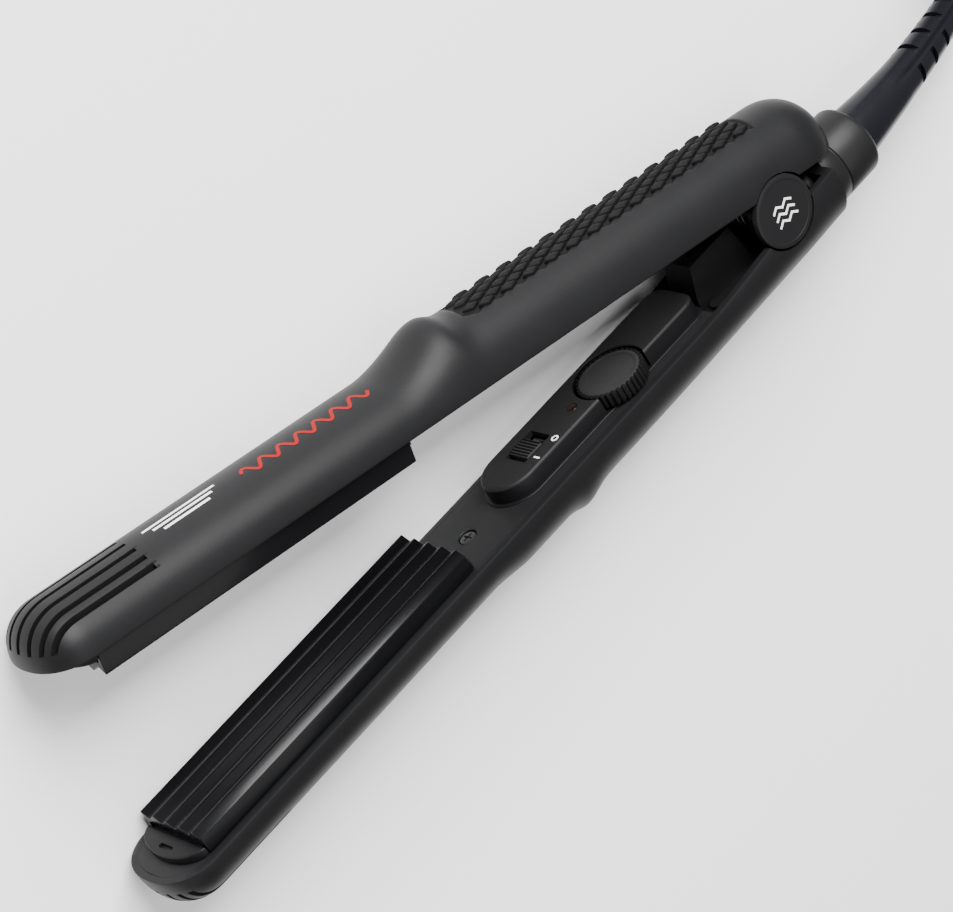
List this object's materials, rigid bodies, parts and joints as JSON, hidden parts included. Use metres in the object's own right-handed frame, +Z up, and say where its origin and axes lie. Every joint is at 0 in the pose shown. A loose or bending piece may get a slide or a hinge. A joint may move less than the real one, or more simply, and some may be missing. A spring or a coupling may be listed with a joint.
{
  "type": "hair crimper",
  "caption": "Hand-held hair crimper: two long hinged arms with black corrugated heating plates, inner-face temperature dial and slide switch, swivel cord with coiled lead and plug",
  "frame": {"origin": "centre of the underside of the object as it lies on its far side, cord and plug left out of the box", "axes": "+X runs from the cord end to the tips, +Y from the upper arm to the lower arm, +Z up, from the far side to the side with the marked pivot cap; the hinge axis is parallel to Z"},
  "size_m": [0.4235, 0.1412, 0.029],
  "materials": {
    "shell_charcoal": "soft-touch charcoal coating, fine grain",
    "cover_black": "moulded black plastic, fine texture",
    "plate_glaze": "aluminium with glossy black ceramic coating",
    "screw_steel": "blackened steel screws",
    "dial_black": "matt black moulding, knurled rim",
    "lens_red": "dark smoked red lens, unlit",
    "led": "red LED",
    "slider_grey": "dark grey ribbed moulding",
    "cap_grey": "dark grey cap with a fine satin",
    "hinge_black": "glass-filled black nylon",
    "steel": "spring steel and plain steel",
    "bush_nylon": "natural nylon",
    "collar_black": "black moulded plastic",
    "brass": "plain brass",
    "ceramic": "white alumina heater in a steel frame",
    "mica": "mica insulating sheet",
    "board_green": "solder-masked board",
    "component": "moulded electronic component",
    "wire_sleeve": "glass-fibre sleeved wire",
    "cord_rubber": "black flexible cord jacket",
    "plug_black": "moulded black plug",
    "tie_black": "black cord tie"
  },
  "bodies": {
    "lower_arm": {"lower_shell": "shell_charcoal", "lower_inner_cover": "cover_black", "lower_plate_carrier": "cover_black", "lower_plate": "plate_glaze", "lower_cover_screw": "screw_steel", "hinge_frame_screws": "screw_steel", "indicator_lens": "lens_red", "indicator_led": "led", "pivot_cap_near": "cap_grey", "pivot_cap_far": "cap_grey", "hinge_frame": "hinge_black", "hinge_pin": "steel", "spring_sleeve": "steel", "torsion_spring": "steel", "lower_plate_spring": "steel", "brush_holder": "collar_black", "power_switch": "collar_black", "lower_heater": "ceramic", "lower_mica_sheet": "mica", "circuit_board": "board_green", "potentiometer": "component", "thermal_fuse": "component", "lower_thermistor": "component", "mains_leads": "wire_sleeve", "lower_heater_leads": "wire_sleeve"},
    "upper_arm": {"upper_shell": "shell_charcoal", "upper_inner_cover": "cover_black", "upper_plate_carrier": "cover_black", "upper_plate": "plate_glaze", "upper_cover_screws": "screw_steel", "upper_hinge_frame": "hinge_black", "upper_plate_spring": "steel", "upper_heater": "ceramic", "upper_mica_sheet": "mica", "upper_thermistor": "component", "upper_heater_leads": "wire_sleeve", "hinge_bushes": "bush_nylon"},
    "dial": {"temperature_dial": "dial_black"},
    "slider": {"power_slider": "slider_grey"},
    "cord_swivel": {"swivel_collar": "collar_black", "slip_rings": "brass", "strain_relief": "cord_rubber", "cord_lead": "cord_rubber", "cord_coil": "cord_rubber", "coil_tie": "tie_black", "cord_end": "cord_rubber", "plug_body": "plug_black", "plug_pins": "brass"}
  },
  "joints": [
    {"name": "arm_hinge", "type": "hinge", "parent": "lower_arm", "child": "upper_arm", "pos_m": [-0.0997, 0.02165, 0.0145], "axis": [0, 0, 1], "range_deg": [0, 12.8], "stiffness_Nm_per_rad": 2, "springref_deg": -17.19},
    {"name": "dial_turn", "type": "hinge", "parent": "lower_arm", "child": "dial", "pos_m": [-0.0373, 0.02465, 0.018], "axis": [0, -1, 0], "range_deg": [-135, 135]},
    {"name": "switch_slide", "type": "slide", "parent": "lower_arm", "child": "slider", "axis": [-1, 0, 0], "range_m": [0, 0.0024]},
    {"name": "cord_swivel_turn", "type": "hinge", "parent": "lower_arm", "child": "cord_swivel", "pos_m": [-0.1297, 0.03055, 0.0145], "axis": [1, 0, 0], "continuous": true}
  ]
}
